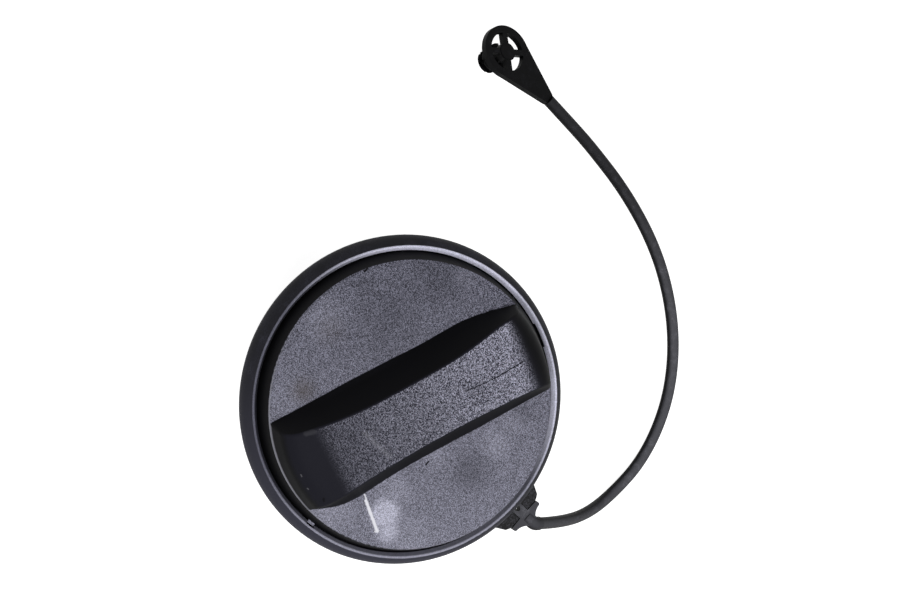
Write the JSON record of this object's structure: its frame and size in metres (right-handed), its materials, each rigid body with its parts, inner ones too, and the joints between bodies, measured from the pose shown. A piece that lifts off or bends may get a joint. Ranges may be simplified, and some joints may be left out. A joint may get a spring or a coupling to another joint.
{
  "type": "fuel filler cap",
  "caption": "Round screw-in fuel filler cap: raised crown with a cross grip, ratchet drive, threaded plug with tank valves, and a tether cord with a push-pin anchor.",
  "frame": {"origin": "on the cap axis in the plane where the neck gasket meets the filler neck", "axes": "+Z out of the tank through the grip, X along the grip"},
  "size_m": [0.1303, 0.1303, 0.0564],
  "materials": {
    "shell_plastic": "fine spark-grain moulded black plastic with a smooth bevel",
    "crown_plastic": "grained black plastic, grain coarser on the grip",
    "core_plastic": "smooth moulded black polyamide",
    "pom_natural": "natural white acetal",
    "seal_rubber": "moulded nitrile rubber",
    "plate_steel": "stamped stainless steel",
    "spring_steel": "drawn spring steel wire",
    "tether_plastic": "smooth moulded black plastic",
    "tether_elastomer": "semi-gloss black thermoplastic elastomer"
  },
  "bodies": {
    "closure": {"closure_core": "core_plastic", "neck_gasket": "seal_rubber", "bottom_guard": "core_plastic", "valve_housing": "pom_natural", "housing_o_ring": "seal_rubber", "spring_retainer": "pom_natural", "pressure_spring": "spring_steel"},
    "cover": {"grip_crown": "crown_plastic", "outer_shell": "shell_plastic", "pawl_ring": "pom_natural"},
    "tether": {"tether_ring": "tether_plastic", "tether_head": "tether_elastomer", "tether_cord": "tether_elastomer", "tether_anchor": "tether_elastomer"},
    "pressure_valve": {"pressure_plate": "plate_steel", "pressure_seal": "seal_rubber", "vacuum_spring": "spring_steel"},
    "vacuum_valve": {"vacuum_poppet": "pom_natural", "vacuum_seal": "seal_rubber", "vacuum_retainer": "spring_steel"}
  },
  "joints": [
    {"name": "cover_turn", "type": "hinge", "parent": "closure", "child": "cover", "pos_m": [0, 0, 0], "axis": [0, 0, 1], "range_deg": [-360, 0], "deforming": ["pawl_ring"]},
    {"name": "tether_swivel", "type": "hinge", "parent": "closure", "child": "tether", "pos_m": [0, 0, 0.005], "axis": [0, 0, 1], "continuous": true},
    {"name": "pressure_lift", "type": "slide", "parent": "closure", "child": "pressure_valve", "axis": [0, 0, 1], "range_m": [0, 0.0015], "stiffness_N_per_m": 400, "springref_m": -0.005, "deforming": ["pressure_spring"]},
    {"name": "vacuum_drop", "type": "slide", "parent": "pressure_valve", "child": "vacuum_valve", "axis": [0, 0, -1], "range_m": [0, 0.0012], "stiffness_N_per_m": 60, "springref_m": -0.004, "deforming": ["vacuum_spring"]}
  ]
}
